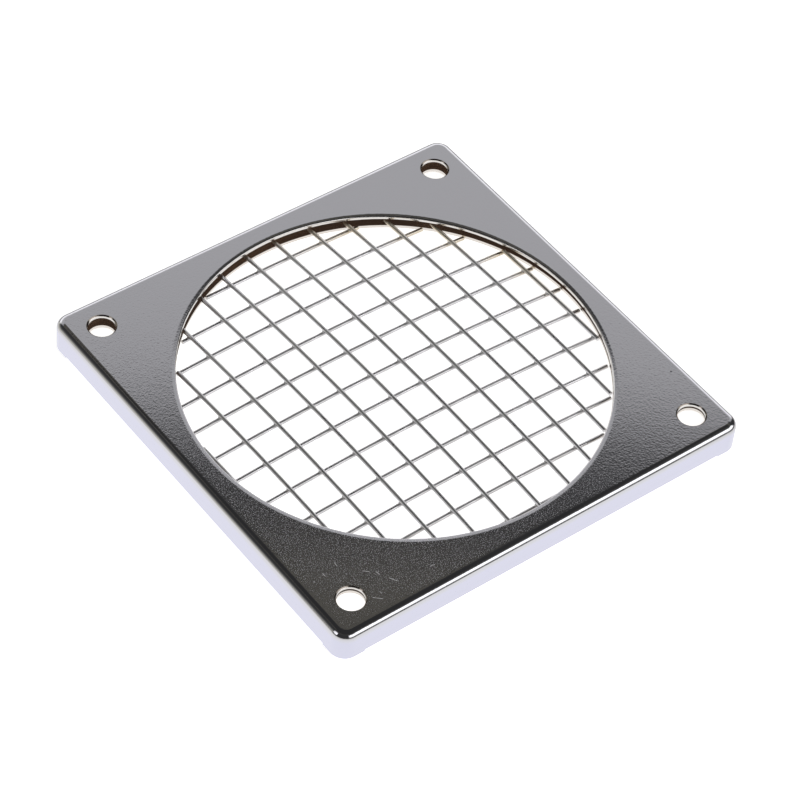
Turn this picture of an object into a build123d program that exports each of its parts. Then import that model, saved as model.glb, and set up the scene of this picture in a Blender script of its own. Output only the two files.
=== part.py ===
from build123d import *
from math import atan, ceil, cos, degrees, hypot, radians, sin, sqrt
import os

# Dust filter guard for an 80 mm fan: a pressed square cover, a crowned disc of
# welded wire mesh across its air opening, and a backing plate that holds the
# mesh from below. Millimetres, +Z out of the cover's face, which points away
# from the fan. The origin is the middle of the footprint, on the surface that
# the four corner feet of the skirt stand on. Long wires run along Y and lie on
# top, cross wires run along X beneath them.

# The fan's square front, and how far the holes and edges lie in or out from its sides
fan_width = 80.0
hole_inset = 4.25
opening_inset = 2.85
cover_overhang = 2.1
hole_diameter = 4.8

# Pressed cover, its bends measured on the inside
cover_sheet = 0.6
cover_skirt = 5.3
cover_bend_radius = 0.8
cover_corner_radius = 2.2
foot_height = 0.35
foot_length = 4.0
die_roll = 0.25
hole_edge_break = 0.2

# Backing plate: close under the cover at the front, and sprung down at the back,
# where the mesh lies between the two
plate_sheet = 0.6
plate_side_clearance = 0.2
plate_corner_radius = 2.0
front_slot = 0.35
mesh_play = 0.2

# Welded mesh
wire_diameter = 0.75
wire_sides = 8
mesh_crown = 1.76
mesh_drop = 0.42
mesh_tuck = 0.6
mesh_clearance = 0.02
end_clearance = 0.06
long_wire_pitch = 6.45
cross_wire_pitch = 6.25
long_wire_shift = -0.95
cross_wire_shift = -1.5
long_wire_heading = 0.74
cross_wire_heading = -0.48
# How far each wire lies off the even pitch, from left to right and front to back
long_wire_wander = (0.0, -0.1, -0.1, 0.35, -0.1, -0.2, -0.35, 0.25, 0.1, 0.0, -0.2, -0.15)
cross_wire_wander = (0.0, 0.1, -0.25, -0.4, -0.2, 0.15, -0.2, 0.2, -0.05, 0.35, -0.15, 0.1)

# Spans and levels that follow from the sizes
hole_pitch = fan_width - 2 * hole_inset
opening_radius = fan_width / 2 - opening_inset
cover_width = fan_width + 2 * cover_overhang
wire_radius = wire_diameter / 2
face_level = foot_height + cover_skirt
underside_level = face_level - cover_sheet
layer_step = wire_diameter + mesh_clearance

# The mesh is a shallow cap cut from a ball, and at the rim of the opening its long
# wires pass a little below the cover
crown_radius = (opening_radius**2 + mesh_crown**2) / (2 * mesh_crown)
long_layer_apex = underside_level - mesh_drop - wire_radius + mesh_crown
cross_layer_apex = long_layer_apex - layer_step
tucked_radius = opening_radius + mesh_tuck
trimmed_radius = opening_radius - end_clearance


def sag(distance):
    """How far the cap has dropped at a distance from its middle."""
    return crown_radius - sqrt(crown_radius**2 - distance**2)


# The plate is bent to one long arc from the front row of holes, where it lies level,
# to the back row, where the slot takes both layers of wire
back_slot = 2 * wire_diameter + mesh_play
plate_drop = back_slot - front_slot
plate_bow_radius = (hole_pitch**2 + plate_drop**2) / (2 * plate_drop)


def slot_at(y):
    """Height of the slot between the cover and the plate."""
    behind_front_holes = y + hole_pitch / 2
    return front_slot + plate_bow_radius - sqrt(plate_bow_radius**2 - behind_front_holes**2)


# Pressed cover: a shallow square tray, drawn from one sheet, open below
inner_width = cover_width - 2 * cover_sheet
outer_corner_radius = cover_corner_radius + cover_sheet
outer_bend_radius = cover_bend_radius + cover_sheet
straight_side = cover_width - 2 * (outer_corner_radius + foot_length / 2)

with BuildPart() as pressed_cover:
    with BuildSketch():
        RectangleRounded(cover_width, cover_width, outer_corner_radius)
    extrude(amount=face_level)
    fillet(pressed_cover.faces().sort_by(Axis.Z)[-1].edges(), outer_bend_radius)
    with BuildSketch():
        RectangleRounded(inner_width, inner_width, cover_corner_radius)
    extrude(amount=underside_level, mode=Mode.SUBTRACT)
    ceiling = pressed_cover.faces().filter_by_position(Axis.Z, underside_level, underside_level)
    fillet(ceiling.edges(), cover_bend_radius)
    # The skirt stands on its corners only
    with BuildSketch():
        Rectangle(cover_width + cover_sheet, straight_side)
        Rectangle(straight_side, cover_width + cover_sheet)
    extrude(amount=foot_height, mode=Mode.SUBTRACT)
    with Locations((0, 0, face_level)):
        Hole(opening_radius, depth=2 * cover_sheet)
        with GridLocations(hole_pitch, hole_pitch, 2, 2):
            Hole(hole_diameter / 2, depth=2 * cover_sheet)
    # The punch leaves a rolled edge on the air opening and broken edges on the holes
    rims = pressed_cover.edges().filter_by_position(Axis.Z, face_level, face_level)
    rims = rims.filter_by(lambda edge: edge.is_closed).sort_by(SortBy.RADIUS)
    fillet(rims[-1], die_roll)
    chamfer(rims[:-1], hole_edge_break)

# Backing plate: a strip of a very wide drum, whose top lies over the front row of holes
plate_width = inner_width - 2 * plate_side_clearance
drum_middle = (-hole_pitch / 2, underside_level - front_slot - plate_bow_radius)

with BuildPart() as backing_plate:
    with BuildSketch(Plane.YZ):
        with Locations(drum_middle):
            Circle(plate_bow_radius)
            Circle(plate_bow_radius - plate_sheet, mode=Mode.SUBTRACT)
    extrude(amount=plate_width, both=True)
    with BuildSketch():
        RectangleRounded(plate_width, plate_width, plate_corner_radius)
    extrude(amount=face_level, mode=Mode.INTERSECT)
    with BuildSketch():
        Circle(opening_radius)
        with GridLocations(hole_pitch, hole_pitch, 2, 2):
            Circle(hole_diameter / 2)
    extrude(amount=face_level, mode=Mode.SUBTRACT)

# What the slot has to hold for a wire of each layer to run on under the cover's edge
long_wire_slot = mesh_drop + wire_diameter + sag(tucked_radius) - mesh_crown + mesh_clearance
cross_wire_slot = long_wire_slot + layer_step


def wire_places(pitch, shift, wander):
    """Where the wires of one direction lie: an even pitch, and each wire's own wander."""
    count = ceil(2 * opening_radius / pitch)
    places = []
    for number in range(count):
        even_place = shift + (number - (count - 1) / 2) * pitch
        places.append(even_place + wander[number % len(wander)])
    return [place for place in places if abs(place) < trimmed_radius - wire_radius]


def wire_ends(distance_from_middle, nearest, fits_slot_at):
    """Distances along a wire's line at which it stops, before and after the middle."""
    outer_side = distance_from_middle + wire_radius
    ends = []
    for way in (-1, 1):
        tucked_end = nearest + way * sqrt(tucked_radius**2 - distance_from_middle**2)
        trimmed_end = nearest + way * sqrt(trimmed_radius**2 - outer_side**2)
        ends.append(tucked_end if fits_slot_at(tucked_end) else trimmed_end)
    return ends


def bend_wire(middle, along, ends, crossings, apex):
    """One wire on the cap: it runs straight between its crossings and bends a little at each."""
    first, last = ends
    knots = []
    for distance in [first, *(d for d in crossings if first < d < last), last]:
        spot = middle + along * distance
        knots.append(Vector(spot.X, spot.Y, apex - sag(hypot(spot.X, spot.Y))))
    side = along.cross(Vector(0, 0, 1))
    with BuildPart() as wire:
        with BuildLine() as route:
            Polyline(*knots)
        with BuildSketch(Plane(origin=knots[0], x_dir=side, z_dir=knots[1] - knots[0])):
            RegularPolygon(wire_radius, wire_sides, major_radius=False, rotation=180 / wire_sides)
        sweep(path=route.line, transition=Transition.RIGHT)
    return wire.part


long_places = wire_places(long_wire_pitch, long_wire_shift, long_wire_wander)
cross_places = wire_places(cross_wire_pitch, cross_wire_shift, cross_wire_wander)
long_turn = radians(long_wire_heading)
cross_turn = radians(cross_wire_heading)
long_along = Vector(-sin(long_turn), cos(long_turn), 0)
cross_along = Vector(cos(cross_turn), sin(cross_turn), 0)
skew = cos(long_turn - cross_turn)

# Long wires, from the left: an end lies under the cover where the slot is high enough
long_wires = []
for number, place in enumerate(long_places):
    crossings = [(q * cos(cross_turn) + place * sin(cross_turn)) / skew for q in cross_places]
    ends = wire_ends(
        abs(place) * cos(long_turn),
        place * sin(long_turn),
        lambda end: slot_at(end * cos(long_turn)) >= long_wire_slot,
    )
    strand = bend_wire(Vector(place, 0, 0), long_along, ends, crossings, long_layer_apex)
    strand.label = f"long_wire_{number + 1:02d}"
    long_wires.append(strand)

# Cross wires, from the front, by the same rule
cross_wires = []
for number, place in enumerate(cross_places):
    crossings = [(p * cos(long_turn) - place * sin(long_turn)) / skew for p in long_places]
    ends = wire_ends(
        abs(place) * cos(cross_turn),
        -place * sin(cross_turn),
        lambda end: slot_at(place + end * sin(cross_turn)) >= cross_wire_slot,
    )
    strand = bend_wire(Vector(0, place, 0), cross_along, ends, crossings, cross_layer_apex)
    strand.label = f"cross_wire_{number + 1:02d}"
    cross_wires.append(strand)

pressed_cover.part.label = "pressed_cover"
backing_plate.part.label = "backing_plate"

os.makedirs("parts", exist_ok=True)
for piece in (pressed_cover.part, backing_plate.part, *long_wires, *cross_wires):
    export_step(piece, f"parts/{piece.label}.step")
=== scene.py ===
import bpy
from math import atan2, cos, degrees, hypot, pi, radians, sin, sqrt
from mathutils import Matrix, Vector


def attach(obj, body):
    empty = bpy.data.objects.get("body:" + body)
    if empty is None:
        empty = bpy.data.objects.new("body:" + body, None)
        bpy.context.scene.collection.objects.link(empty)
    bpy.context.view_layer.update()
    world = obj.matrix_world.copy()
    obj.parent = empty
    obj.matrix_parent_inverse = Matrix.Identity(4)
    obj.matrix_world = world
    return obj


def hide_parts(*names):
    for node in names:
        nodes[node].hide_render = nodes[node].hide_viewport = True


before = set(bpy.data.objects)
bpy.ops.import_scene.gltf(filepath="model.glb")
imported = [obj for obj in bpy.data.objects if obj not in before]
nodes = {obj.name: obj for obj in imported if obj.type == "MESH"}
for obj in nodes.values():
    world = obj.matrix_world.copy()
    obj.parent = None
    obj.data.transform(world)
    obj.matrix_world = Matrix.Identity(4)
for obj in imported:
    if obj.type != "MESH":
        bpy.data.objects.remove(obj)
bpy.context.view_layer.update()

# Sizes of the guard, in metres: the mesh's two layers lie on one shallow cap
MM = 0.001
opening_radius = 37.15 * MM
face_level = 5.65 * MM
underside_level = 5.05 * MM
wire_radius = 0.375 * MM
wire_sides = 14
nugget_radius = 0.4 * MM
nugget_squash = (1.12, 1.12, 0.62)
clearance = 0.02 * MM
crown = 1.76 * MM
mesh_drop = 0.42 * MM
cap_radius = (opening_radius**2 + crown**2) / (2 * crown)
long_apex = underside_level - mesh_drop - wire_radius + crown
layer_step = 2 * wire_radius + clearance
cross_apex = long_apex - layer_step
mesh_tuck = 0.6 * MM
end_clearance = 0.06 * MM
tucked_radius = opening_radius + mesh_tuck
trimmed_radius = opening_radius - end_clearance
long_turn = radians(0.74)
cross_turn = radians(-0.48)
long_pitch = 6.45 * MM
cross_pitch = 6.25 * MM
long_shift = -0.95 * MM
cross_shift = -1.5 * MM
long_wander = (0.0, -0.1, -0.1, 0.35, -0.1, -0.2, -0.35, 0.25, 0.1, 0.0, -0.2, -0.15)
cross_wander = (0.0, 0.1, -0.25, -0.4, -0.2, 0.15, -0.2, 0.2, -0.05, 0.35, -0.15, 0.1)

# The slot between the cover and the bowed plate, from the front row of holes to the back
hole_pitch = 71.5 * MM
front_slot = 0.35 * MM
back_slot = 1.7 * MM
plate_drop = back_slot - front_slot
bow_radius = (hole_pitch**2 + plate_drop**2) / (2 * plate_drop)


def slot_at(y):
    """Height of the slot between the cover and the plate."""
    return front_slot + bow_radius - sqrt(bow_radius**2 - (y + hole_pitch / 2) ** 2)


def places(pitch, shift, wander):
    """Where the wires of one direction lie."""
    middle = (len(wander) - 1) / 2
    return [shift + (number - middle) * pitch + off * MM for number, off in enumerate(wander)]


def sag(distance):
    """How far the cap has dropped at a distance from its middle."""
    return cap_radius - sqrt(cap_radius**2 - distance**2)


# Finishes


class Socket:
    """One output of a shader node. Sums and products of sockets add Math nodes."""

    def __init__(self, finish, socket):
        self.finish = finish
        self.socket = socket

    def maths(self, operation, first, second):
        return self.finish.node("ShaderNodeMath", {"operation": operation}, {0: first, 1: second})

    def __add__(self, other):
        return self.maths("ADD", self, other)

    def __radd__(self, other):
        return self.maths("ADD", other, self)

    def __sub__(self, other):
        return self.maths("SUBTRACT", self, other)

    def __rsub__(self, other):
        return self.maths("SUBTRACT", other, self)

    def __mul__(self, other):
        return self.maths("MULTIPLY", self, other)

    def __rmul__(self, other):
        return self.maths("MULTIPLY", other, self)

    def __truediv__(self, other):
        return self.maths("DIVIDE", self, other)

    def __pow__(self, other):
        return self.maths("POWER", self, other)


class Finish:
    """A surface finish: a material, and the nodes that make it."""

    def __init__(self, name):
        self.material = bpy.data.materials.new(name)
        self.material.use_nodes = True
        self.tree = self.material.node_tree
        self.tree.nodes.clear()

    def node(self, kind, settings=None, inputs=None, output=0):
        """Adds a node and gives one of its outputs, by number or name, or the node if it has none."""
        made = self.tree.nodes.new(kind)
        for key, value in (settings or {}).items():
            setattr(made, key, value)
        for key, value in (inputs or {}).items():
            if isinstance(value, Socket):
                self.tree.links.new(value.socket, made.inputs[key])
            else:
                made.inputs[key].default_value = value
        return Socket(self, made.outputs[output]) if made.outputs else made

    def place(self):
        """Place on the object, in its own metres."""
        return self.node("ShaderNodeTexCoord", output=3)

    def parts_of(self, vector):
        """The three parts of a vector."""
        return [self.node("ShaderNodeSeparateXYZ", {}, {0: vector}, output=part) for part in range(3)]

    def larger(self, first, second):
        return self.node("ShaderNodeMath", {"operation": "MAXIMUM"}, {0: first, 1: second})

    def size_of(self, value):
        return self.node("ShaderNodeMath", {"operation": "ABSOLUTE"}, {0: value})

    def noise(self, scale, detail=2.0, roughness=0.5):
        inputs = {"Vector": self.place(), "Scale": scale, "Detail": detail, "Roughness": roughness}
        return self.node("ShaderNodeTexNoise", {"noise_dimensions": "3D"}, inputs)

    def ramp(self, value, low, high, to_low=0.0, to_high=1.0):
        """A smooth step from one level to another."""
        inputs = {"Value": value, "From Min": low, "From Max": high, "To Min": to_low, "To Max": to_high}
        return self.node("ShaderNodeMapRange", {"interpolation_type": "SMOOTHSTEP"}, inputs)

    def mix(self, amount, first, second):
        return self.node("ShaderNodeMix", {"data_type": "RGBA"}, {0: amount, 6: first, 7: second}, output=2)

    def bump(self, height, distance):
        return self.node("ShaderNodeBump", {}, {"Height": height, "Strength": 1.0, "Distance": distance})

    def close_to(self, spot, reach):
        """1 within reach of a spot on the top face, and 0 a little outside it."""
        distance = {"operation": "DISTANCE"}
        away = self.node("ShaderNodeVectorMath", distance, {0: self.place(), 1: spot}, output=1)
        return self.ramp(away, reach * 1.15, reach * 0.85)

    def scratch(self, start, end, width):
        """1 on a short straight mark from start to end on the top face."""
        start, end = Vector(start), Vector(end)
        middle = (start + end) / 2
        along = (end - start).normalized()
        offset = self.node("ShaderNodeVectorMath", {"operation": "SUBTRACT"}, {0: self.place(), 1: middle})
        dot = {"operation": "DOT_PRODUCT"}
        lengthways = self.node("ShaderNodeVectorMath", dot, {0: offset, 1: along}, output=1)
        sideways = self.node("ShaderNodeVectorMath", dot, {0: offset, 1: (-along.y, along.x, 0)}, output=1)
        half = (end - start).length / 2
        inside = self.ramp(self.size_of(lengthways), half * 1.1, half * 0.7)
        return inside * self.ramp(self.size_of(sideways), width * 0.6, width * 0.3)

    def finish(self, surface):
        self.node("ShaderNodeOutputMaterial", {}, {"Surface": surface})
        return self.material


# Tones: plating where it lies open, a painted lilac reflection on the skirt, cut metal, painted shade on the
# holes' broken edges and in the slot between the sheets, and a painted glow there
bright_plating = (0.70, 0.695, 0.725, 1)
painted_lilac_reflection = (0.70, 0.70, 0.83, 1)
cut_plating = (0.80, 0.77, 0.74, 1)
painted_edge_shade = (0.26, 0.23, 0.20, 1)
painted_underside_shade = (0.50, 0.44, 0.38, 1)
warm_plating = (0.80, 0.75, 0.70, 1)
painted_slot_shade = (0.55, 0.47, 0.40, 1)
slot_glow = (0.015, 0.010, 0.0075, 1)
no_glow = (0, 0, 0, 1)
scratch_shade = (0.95, 0.95, 0.95, 1)
pit_shade = (0.12, 0.12, 0.12, 1)
wire_plating_bright = (0.77, 0.76, 0.77, 1)
wire_plating_dull = (0.68, 0.67, 0.67, 1)
wire_end_yellow = (0.80, 0.70, 0.54, 1)

# Places on the cover: its corners' centres, its screw holes, and the way the photo looks along it
cover_reach = 42.1 * MM
corner_radius = 2.8 * MM
corner_spot = cover_reach - corner_radius
hole_spot = hole_pitch / 2
hole_radius = 2.4 * MM
hole_edge_break = 0.2 * MM
view_heading = (0.66, 0.75)

# Depths of the fine relief on each plating
cover_relief = 0.042 * MM
plate_relief = 0.008 * MM
wire_relief = 0.010 * MM

# Marks on the cover's face: one dark pit, and scratches whose two ends are in mm
pit_spot = (39.3 * MM, -26.2 * MM, face_level)
pit_radius = 0.16 * MM
scratch_width = 0.12 * MM
top_scratches = (
    ((-29.2, -33.5), (-29.0, -34.4)),
    ((-28.2, -35.7), (-27.4, -37.1)),
    ((-36.5, -29.1), (-36.5, -29.9)),
    ((-38.6, -29.6), (-38.6, -30.0)),
    ((-32.8, -37.5), (-31.5, -38.7)),
    ((-31.1, -37.1), (-31.1, -37.7)),
    ((-33.6, -28.3), (-33.7, -29.3)),
    ((-30.9, -32.2), (-30.0, -33.0)),
    ((-21.1, -37.4), (-20.4, -37.7)),
)


def plated_metal(made, colour, roughness, normal, inner_glow=no_glow):
    """The metal under every finish; the glow stands for light caught between close sheets."""
    inputs = {
        "Base Color": colour,
        "Metallic": 1.0,
        "Roughness": roughness,
        "Normal": normal,
        "Emission Color": inner_glow,
        "Emission Strength": 1.0,
    }
    return made.finish(made.node("ShaderNodeBsdfPrincipled", {}, inputs))


def cover_finish():
    """Bright plating with a fine orange peel: greyer on top, a painted lilac reflection of the floor on the
    skirt, cream in the holes, and painted shade on the hole edges and under the cover.
    """
    made = Finish("cover_plating")
    x, y, z = made.parts_of(made.place())
    past_x = made.larger(made.size_of(x) - corner_spot, 0.0)
    past_y = made.larger(made.size_of(y) - corner_spot, 0.0)
    outward = (past_x * past_x + past_y * past_y) ** 0.5
    skirt = made.ramp(outward, 2.3 * MM, 2.7 * MM) * made.ramp(z, 4.9 * MM, 3.6 * MM)
    from_middle = (x * x + y * y) ** 0.5
    to_hole_x = made.size_of(x) - hole_spot
    to_hole_y = made.size_of(y) - hole_spot
    from_hole = (to_hole_x * to_hole_x + to_hole_y * to_hole_y) ** 0.5
    wall_start, wall_end = hole_radius + 0.01 * MM, hole_radius + 0.05 * MM
    break_end = hole_radius + hole_edge_break
    punched = made.larger(
        made.ramp(from_middle, opening_radius + 0.2 * MM, opening_radius + 0.05 * MM),
        made.ramp(from_hole, wall_end, wall_start),
    )
    # Painted shade: the holes' broken edges are coloured dark
    painted_edge_mask = made.ramp(from_hole, break_end + 0.08 * MM, break_end + 0.02 * MM)
    painted_edge_mask = painted_edge_mask * made.ramp(from_hole, wall_start, wall_end)
    # Painted shade and a painted glow on the cover's underside, in the slot over the plate
    inside = made.ramp(z, underside_level + 0.03 * MM, underside_level - 0.01 * MM)
    inside = inside * made.ramp(outward, 2.3 * MM, 2.24 * MM)
    # The skirt is coloured lilac: a painted reflection of the floor it mirrors
    colour = made.mix(skirt, bright_plating, painted_lilac_reflection)
    colour = made.mix(punched, colour, cut_plating)
    colour = made.mix(painted_edge_mask, colour, painted_edge_shade)
    colour = made.mix(inside, colour, painted_underside_shade)
    marks = 0.0
    for ends in top_scratches:
        start, end = [(across * MM, along * MM, face_level) for across, along in ends]
        marks = made.scratch(start, end, scratch_width) + marks
    pit = made.close_to(pit_spot, pit_radius)
    colour = made.mix(pit, colour, pit_shade)
    # Fine pimples catch light from afar where the face mirrors the dark overhead
    backward = x * view_heading[0] + y * view_heading[1]
    in_front = made.ramp(backward, -8.0 * MM, -34.0 * MM) * made.ramp(outward, 1.5 * MM, 0.6 * MM)
    at_corner = made.ramp(backward, -44.0 * MM, -51.0 * MM)
    pimples = made.ramp(made.noise(6000.0, 2.0), 0.55, 0.69) * in_front * (1.0 - at_corner * 0.6)
    # An orange peel on the face, and the punched rim rolled down over its last 0.7 mm
    peel = made.noise(2900.0, 2.0, 0.55) * 0.17
    rolled = made.ramp(from_middle, opening_radius + 0.1 * MM, opening_radius + 0.8 * MM)
    flat = 1.0 - made.larger(skirt, punched)
    normal = made.bump(peel * flat + rolled, cover_relief)
    roughness = made.larger(marks * 0.8, made.larger(punched * 0.2, pimples * 0.6 + 0.05))
    colour = made.mix(marks, colour, scratch_shade)
    return plated_metal(made, colour, roughness, normal, made.mix(inside, no_glow, slot_glow))


def plate_finish():
    """Warmer plating on the backing plate, with painted brown shade and a faint painted glow on its face in
    the slot.
    """
    made = Finish("plate_plating")
    y, z = made.parts_of(made.place())[1:]
    behind = y + hole_pitch / 2
    slot = behind * behind / (2 * bow_radius) + front_slot
    # Painted shade and a painted glow on the plate's face in the slot under the cover
    upper_face = made.ramp(z + slot, underside_level - 0.06 * MM, underside_level - 0.02 * MM)
    colour = made.mix(upper_face, warm_plating, painted_slot_shade)
    glow = made.mix(upper_face, no_glow, slot_glow)
    roughness = made.ramp(made.noise(60.0), 0.3, 0.7, 0.22, 0.3)
    return plated_metal(made, colour, roughness, made.bump(made.noise(1300.0), plate_relief), glow)


def wire_finish():
    """Drawn wire, plated after welding: a cloudy plating with a fine grain."""
    made = Finish("wire_plating")
    cloud = made.noise(400.0)
    colour = made.mix(made.ramp(cloud, 0.35, 0.7), wire_plating_bright, wire_plating_dull)
    x, y = made.parts_of(made.place())[:2]
    # Yellower towards the ends of the wires at the back of the opening
    yellow = made.ramp(x + y, 24.0 * MM, 50.0 * MM) * made.ramp((x * x + y * y) ** 0.5, 30.0 * MM, 36.0 * MM)
    colour = made.mix(yellow * 0.8, colour, wire_end_yellow)
    roughness = made.ramp(cloud, 0.3, 0.7, 0.26, 0.38)
    return plated_metal(made, colour, roughness, made.bump(made.noise(2500.0), wire_relief))


cover_plating = cover_finish()
plate_plating = plate_finish()
wire_plating = wire_finish()

for name, material in (("pressed_cover", cover_plating), ("backing_plate", plate_plating)):
    nodes[name].data.materials.clear()
    nodes[name].data.materials.append(material)


# Mesh


def wire_knots(middle, along, ends, crossings, apex):
    """Points of a wire's middle line: its two ends and its crossings."""
    first, last = ends
    knots = []
    for stop in [first, *(stop for stop in crossings if first < stop < last), last]:
        spot = middle + along * stop
        knots.append(Vector((spot.x, spot.y, apex - sag(hypot(spot.x, spot.y)))))
    return knots


def draw_wire(name, along, knots):
    """A round wire, pulled ring by ring along its knots."""
    bpy.ops.object.select_all(action="DESELECT")
    bpy.ops.mesh.primitive_circle_add(
        vertices=wire_sides,
        radius=wire_radius,
        fill_type="NGON",
        location=knots[0],
        rotation=(pi / 2, 0, atan2(along.y, along.x) - pi / 2),
    )
    wire = bpy.context.active_object
    wire.name = name
    bpy.ops.object.mode_set(mode="EDIT")
    for start, end in zip(knots, knots[1:]):
        bpy.ops.mesh.extrude_region_move(TRANSFORM_OT_translate={"value": end - start})
    bpy.ops.mesh.select_all(action="SELECT")
    bpy.ops.mesh.normals_make_consistent(inside=False)
    bpy.ops.object.mode_set(mode="OBJECT")
    bpy.ops.object.transform_apply(location=True, rotation=True, scale=True)
    bpy.ops.object.shade_smooth_by_angle(angle=radians(40))
    return wire


def weld_nugget():
    """The small fused lump where two wires cross, squashed flat between them."""
    bpy.ops.object.select_all(action="DESELECT")
    bpy.ops.mesh.primitive_uv_sphere_add(segments=12, ring_count=6, radius=nugget_radius, location=(0, 0, 0))
    lump = bpy.context.active_object
    lump.name = "weld_nugget"
    bpy.ops.object.mode_set(mode="EDIT")
    bpy.ops.mesh.select_all(action="SELECT")
    bpy.ops.transform.resize(value=nugget_squash)
    bpy.ops.object.mode_set(mode="OBJECT")
    bpy.ops.object.transform_apply(location=True, rotation=True, scale=True)
    bpy.ops.object.shade_smooth()
    return lump


long_along = Vector((-sin(long_turn), cos(long_turn), 0))
cross_along = Vector((cos(cross_turn), sin(cross_turn), 0))
skew = cos(long_turn - cross_turn)
long_places = places(long_pitch, long_shift, long_wander)
cross_places = places(cross_pitch, cross_shift, cross_wander)


def wire_ends(distance, nearest, across_y, along_y, needed_slot):
    """Distances along a wire's line at which it stops: tucked in the slot, or trimmed."""
    ends = []
    for way in (-1, 1):
        tucked = nearest + way * sqrt(tucked_radius**2 - distance**2)
        trimmed = nearest + way * sqrt(trimmed_radius**2 - (distance + wire_radius) ** 2)
        ends.append(tucked if slot_at(across_y + tucked * along_y) >= needed_slot else trimmed)
    return ends


long_slot = mesh_drop + 2 * wire_radius + sag(tucked_radius) - crown + clearance
cross_slot = long_slot + layer_step
lump = weld_nugget()
cross_spans = []
for place in cross_places:
    distance = abs(place) * cos(cross_turn)
    nearest = -place * sin(cross_turn)
    cross_spans.append(wire_ends(distance, nearest, place, sin(cross_turn), cross_slot))

for number, place in enumerate(cross_places):
    stops = [(p * cos(long_turn) - place * sin(long_turn)) / skew for p in long_places]
    knots = wire_knots(Vector((0, place, 0)), cross_along, cross_spans[number], stops, cross_apex)
    strand = draw_wire(f"cross_strand_{number + 1:02d}", cross_along, knots)
    strand.data.materials.append(wire_plating)
    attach(strand, "root")
    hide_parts(f"cross_wire_{number + 1:02d}")

for number, place in enumerate(long_places):
    stops = [(q * cos(cross_turn) + place * sin(cross_turn)) / skew for q in cross_places]
    nearest = place * sin(long_turn)
    ends = wire_ends(abs(place) * cos(long_turn), nearest, 0, cos(long_turn), long_slot)
    middle = Vector((place, 0, 0))
    knots = wire_knots(middle, long_along, ends, stops, long_apex)
    strand = draw_wire(f"long_strand_{number + 1:02d}", long_along, knots)
    strand.data.materials.append(wire_plating)
    beads = []
    for stop, (first, last) in zip(stops, cross_spans):
        spot = middle + long_along * stop
        if not (ends[0] < stop < ends[1] and first < spot.x / cos(cross_turn) < last):
            continue
        bead = lump.copy()
        bead.data = lump.data.copy()
        level = long_apex - wire_radius - sag(hypot(spot.x, spot.y))
        bead.data.transform(Matrix.Translation((spot.x, spot.y, level)))
        bpy.context.scene.collection.objects.link(bead)
        beads.append(bead)
    bpy.ops.object.select_all(action="DESELECT")
    for bead in beads:
        bead.select_set(True)
    strand.select_set(True)
    bpy.context.view_layer.objects.active = strand
    bpy.ops.object.join()
    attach(strand, "root")
    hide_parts(f"long_wire_{number + 1:02d}")

bpy.data.objects.remove(lump)

# Studio: its size in metres, the tones of its paper, the dimmer painted glow that the metal sees far off,
# and its light
floor_size = 6.0
tent_radius = 2.4
paper_white = (0.8, 0.8, 0.8, 1)
near_paper = (1.0, 1.0, 1.0, 1)
far_mirrored_glow = (0.62, 0.61, 0.585, 1)
cool_light = (0.985, 0.985, 1.0, 1)
olive_light = (1.0, 0.95, 0.80, 1)
cream_light = (1.0, 0.99, 0.84, 1)


def studio_floor():
    """A white sweep: it keeps the guard's shadow, and the camera sees it white."""
    bpy.ops.object.select_all(action="DESELECT")
    bpy.ops.mesh.primitive_plane_add(size=floor_size, location=(0, 0, 0))
    floor = bpy.context.active_object
    floor.name = "studio_floor"
    made = Finish("white_sweep")
    seen_by_camera = made.node("ShaderNodeLightPath", output="Is Camera Ray")
    seen_in_metal = made.node("ShaderNodeLightPath", output="Is Glossy Ray")
    seen_through = made.node("ShaderNodeLightPath", output="Is Transmission Ray")
    strength = made.larger(seen_by_camera, seen_through) * 0.78
    paper = made.node("ShaderNodeBsdfDiffuse", {}, {"Color": paper_white})
    glow = made.node("ShaderNodeEmission", {}, {"Color": near_paper, "Strength": strength})
    lit_paper = made.node("ShaderNodeAddShader", {}, {0: paper, 1: glow})
    # Painted light on the floor for the metal only: it mirrors a glow that is bright around the guard and
    # duller far away
    x, y = made.parts_of(made.place())[:2]
    away = made.ramp((x * x + y * y) ** 0.5, 55 * MM, 110 * MM)
    tone = made.mix(away, near_paper, far_mirrored_glow)
    mirrored = made.node("ShaderNodeEmission", {}, {"Color": tone, "Strength": 1.0})
    seen = made.node("ShaderNodeMixShader", {}, {0: seen_in_metal, 1: lit_paper, 2: mirrored})
    floor.data.materials.append(made.finish(seen))


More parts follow.
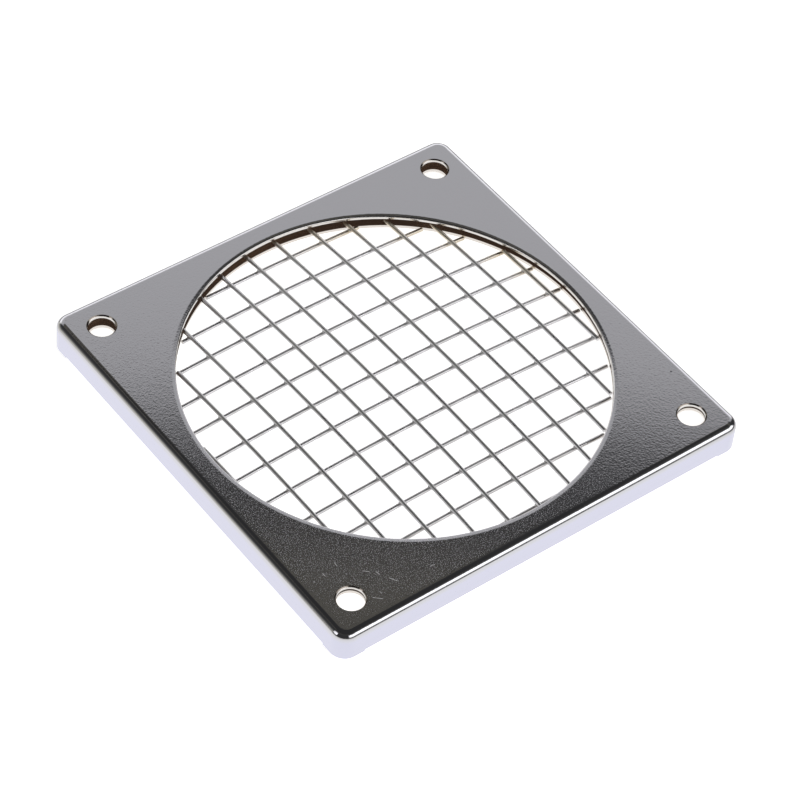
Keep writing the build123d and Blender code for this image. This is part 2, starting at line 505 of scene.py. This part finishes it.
def studio_tent():
    """A round tent above the floor: panels of light at some bearings, dark overhead."""
    bpy.ops.object.select_all(action="DESELECT")
    bpy.ops.mesh.primitive_uv_sphere_add(segments=64, ring_count=48, radius=tent_radius, location=(0, 0, 0))
    tent = bpy.context.active_object
    tent.name = "studio_tent"
    bpy.ops.object.mode_set(mode="EDIT")
    bpy.ops.mesh.select_all(action="SELECT")
    bpy.ops.mesh.bisect(plane_co=(0, 0, 0.001), plane_no=(0, 0, 1), clear_inner=True)
    bpy.ops.object.mode_set(mode="OBJECT")
    bpy.ops.object.shade_smooth()
    made = Finish("tent_cloth")
    spot = made.node("ShaderNodeVectorMath", {"operation": "NORMALIZE"}, {0: made.place()})
    x, y, z = made.parts_of(spot)
    bearing = made.node("ShaderNodeMath", {"operation": "ARCTAN2"}, {0: y, 1: x}) * degrees(1)
    height = made.node("ShaderNodeMath", {"operation": "ARCSINE"}, {0: z}) * degrees(1)

    def panel(first, last, bottom, top):
        """1 inside a soft-edged panel that spans these bearings and heights, in degrees."""
        soft_side, soft_bottom, soft_top = 6.0, 2.0, 4.0
        first_side = made.ramp(bearing, first - soft_side, first + soft_side)
        last_side = made.ramp(bearing, last + soft_side, last - soft_side)
        lower_edge = made.ramp(height, bottom - soft_bottom, bottom + soft_bottom)
        return first_side * last_side * lower_edge * made.ramp(height, top + soft_top, top - soft_top)

    # The panel behind ends just where the cover's face mirrors it, a little lower on the right
    edge = height - (bearing - 48.0) * 0.045
    behind_sides = made.ramp(bearing, 8.0, 24.0) * made.ramp(bearing, 112.0, 96.0)
    behind = behind_sides * made.ramp(height, 8.0, 12.0) * made.ramp(edge, 48.6, 47.0)
    behind = behind * made.ramp(edge, 43.0, 47.5, 1.0, 0.86) * made.ramp(height, 27.0, 39.0, 2.6, 1.0)
    # The one on the right in front is dimmer low down, where the face mirrors it for a view from behind
    right_front = panel(-104.0, -22.0, 12.0, 41.0) * made.ramp(height, 13.0, 26.0, 0.5, 0.9)
    # The left panel runs up to the seam of bearings at 180 degrees
    left = panel(157.0, 190.0, 12.0, 40.0)
    low_left = made.ramp(bearing, 94.0, 106.0) * made.ramp(bearing, 160.0, 150.0)
    low_left = low_left * made.ramp(height, 45.0, -10.0)
    olive = made.ramp(height, 50.5, 51.4) * made.ramp(height, 55.0, 52.5)
    dark = made.ramp(height, 56.0, 50.0, 0.032, 0.042) + olive * 0.07
    light = dark + behind * 0.45 + right_front * 2.0 + left * 1.3 + low_left * low_left * 0.8
    colour = made.mix(olive, cool_light, olive_light)
    colour = made.mix(low_left, colour, cream_light)
    cloth = made.node("ShaderNodeEmission", {}, {"Color": colour, "Strength": light})
    tent.data.materials.append(made.finish(cloth))
    tent.visible_camera = False
    tent.visible_shadow = False


studio_floor()
studio_tent()

sky = bpy.data.worlds.new("studio_white")
bpy.context.scene.world = sky
sky.use_nodes = True
background = sky.node_tree.nodes["Background"]
background.inputs["Color"].default_value = (1, 1, 1, 1)
background.inputs["Strength"].default_value = 1.2

lamp = bpy.data.lights.new("overhead_softbox", "AREA")
lamp.shape = "SQUARE"
lamp.size = 1.2
lamp.energy = 9.0
hanging = bpy.data.objects.new("overhead_softbox", lamp)
hanging.location = (0.3, -0.4, 1.5)
hanging.rotation_euler = (radians(15), radians(11), 0)
hanging.visible_glossy = False
bpy.context.scene.collection.objects.link(hanging)

# Camera

lens = bpy.data.cameras.new("photo_camera")
lens.lens = 143.58
lens.sensor_width = 36.0
lens.dof.use_dof = False
lens.shift_x = -0.000625
lens.shift_y = 0.000625
camera = bpy.data.objects.new("photo_camera", lens)
camera.location = (-0.24357, -0.27867, 0.39956)
camera.rotation_euler = (radians(42.527), radians(-4.007), radians(-37.011))
bpy.context.scene.collection.objects.link(camera)
bpy.context.scene.camera = camera
bpy.context.scene.view_settings.view_transform = "Standard"
